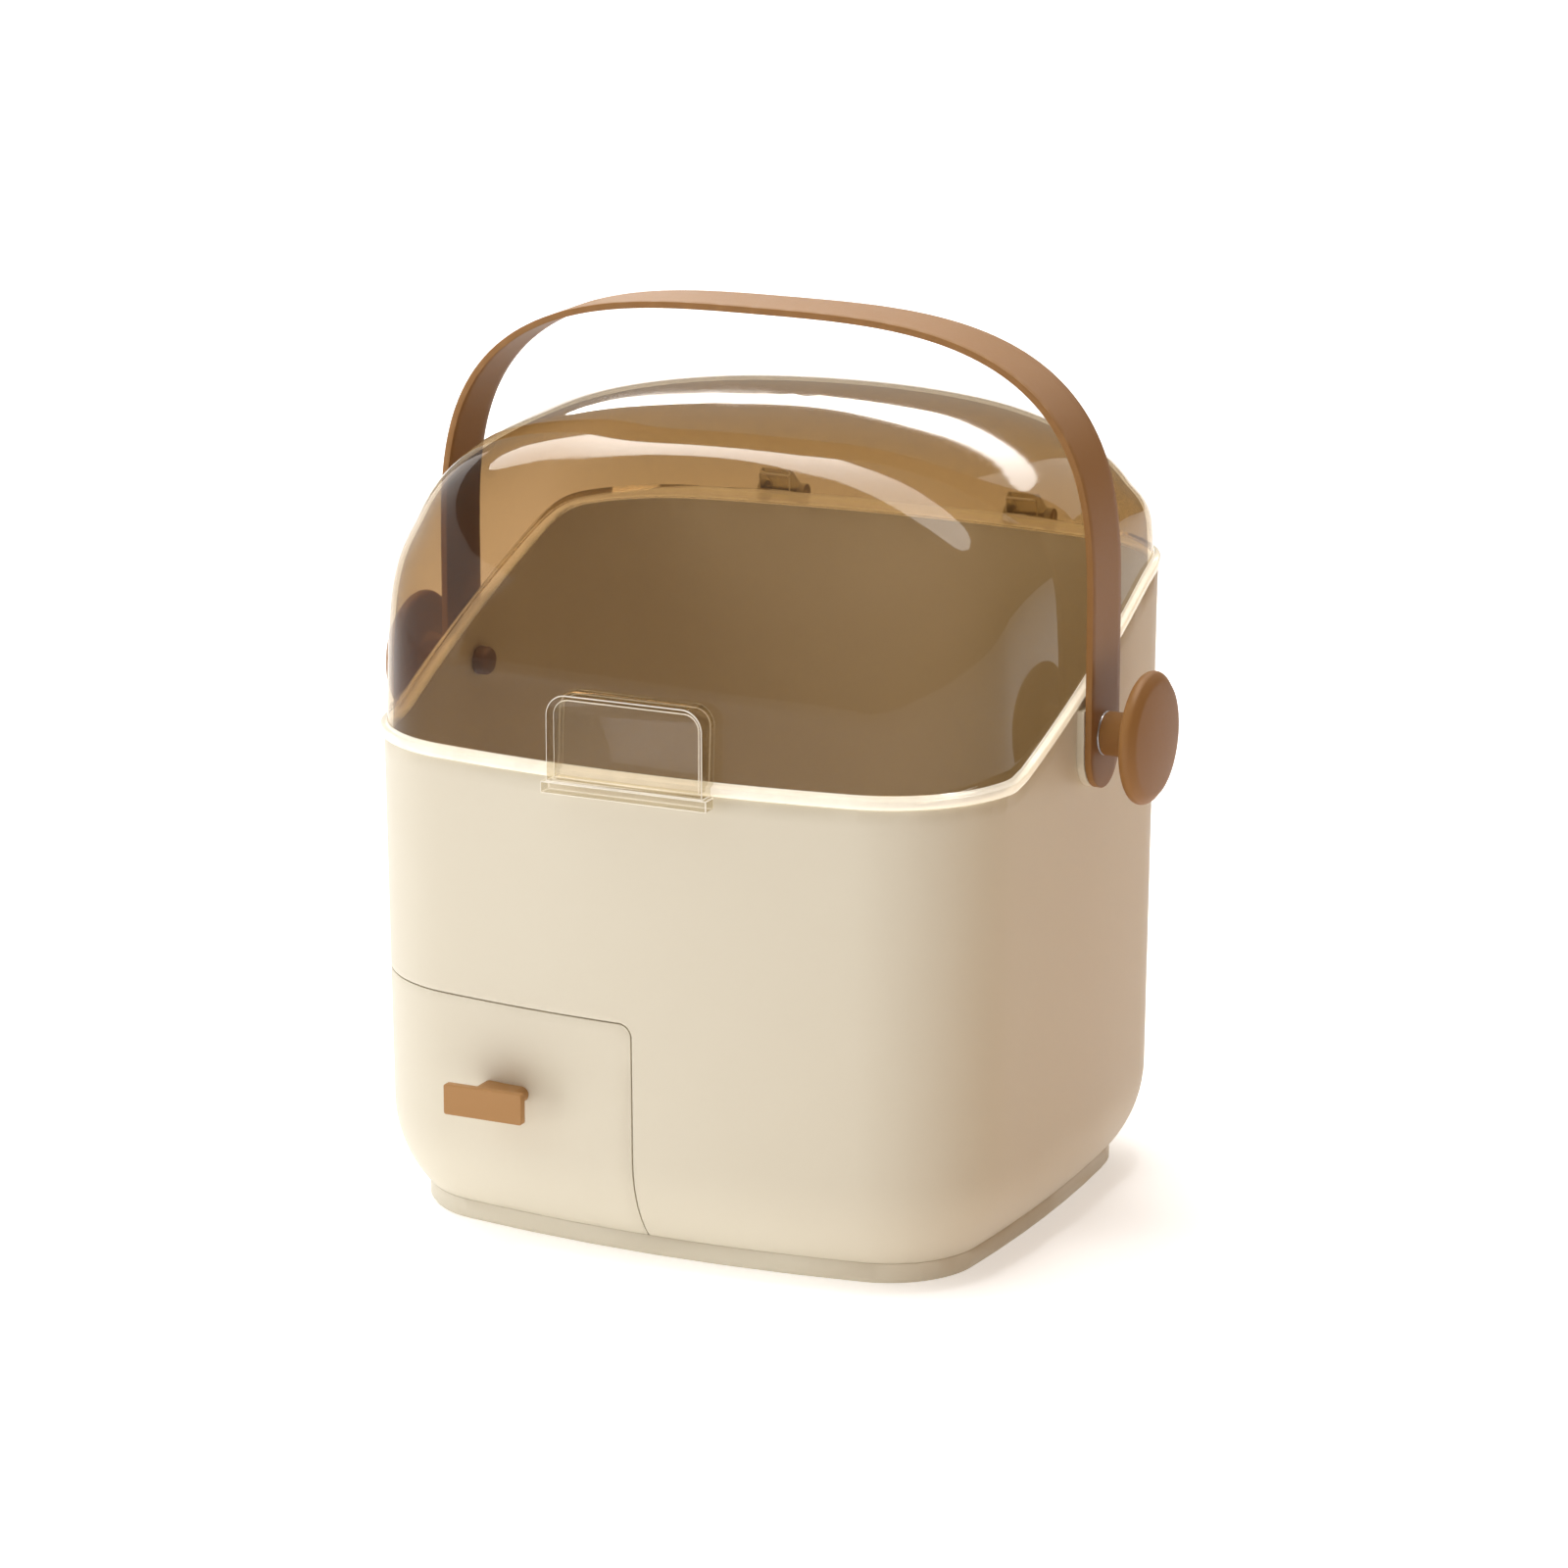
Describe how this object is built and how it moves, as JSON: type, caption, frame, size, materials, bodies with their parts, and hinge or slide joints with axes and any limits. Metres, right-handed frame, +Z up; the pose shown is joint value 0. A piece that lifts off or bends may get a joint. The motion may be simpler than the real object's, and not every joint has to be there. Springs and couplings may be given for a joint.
{
  "type": "dustproof makeup organizer",
  "caption": "Portable vanity case: tapered cream box with a clear amber domed lid on rear hinges, a wrap-around corner drawer and a swinging strap handle on disc knobs.",
  "frame": {"origin": "middle of the plinth's underside, on the table", "axes": "+X to the right across both knobs, front faces -Y, +Z up"},
  "size_m": [0.31, 0.2531, 0.337],
  "materials": {
    "cream_body": "satin moulded plastic",
    "cream_drawer": "satin moulded plastic",
    "cream_inner": "satin moulded plastic",
    "brown_handle": "satin moulded plastic, wood brown",
    "amber_clear": "clear amber plastic",
    "clear_grip": "clear plastic",
    "steel": "zinc plated"
  },
  "bodies": {
    "case": {"outer_body": "cream_body", "base_plinth": "cream_body", "base_screws": "steel", "inner_shelf": "cream_inner", "runner_left": "cream_inner", "runner_right": "cream_inner", "hinge_pin_left": "cream_body", "hinge_pin_right": "cream_body", "knob_left": "brown_handle", "knob_right": "brown_handle", "pivot_pad_left": "cream_body", "pivot_pad_right": "cream_body", "washer_left": "steel", "washer_right": "steel", "pivot_nut_left": "brown_handle", "pivot_nut_right": "brown_handle"},
    "drawer": {"drawer_front": "cream_drawer", "drawer_tray": "cream_inner", "tray_screws": "steel", "drawer_pull": "brown_handle", "pull_screws": "steel"},
    "lid": {"lid_shell": "amber_clear", "lid_grip": "clear_grip", "lid_knuckles": "amber_clear"},
    "handle": {"handle_strap": "brown_handle"}
  },
  "joints": [
    {"name": "drawer_slide", "type": "slide", "parent": "case", "child": "drawer", "axis": [0, -1, 0], "range_m": [0, 0.15]},
    {"name": "lid_hinge", "type": "hinge", "parent": "case", "child": "lid", "pos_m": [0, 0.1196, 0.2385], "axis": [-1, 0, 0], "range_deg": [0, 10]},
    {"name": "handle_swing", "type": "hinge", "parent": "case", "child": "handle", "pos_m": [0, 0.001, 0.18896], "axis": [1, 0, 0], "range_deg": [-110, 110]}
  ]
}
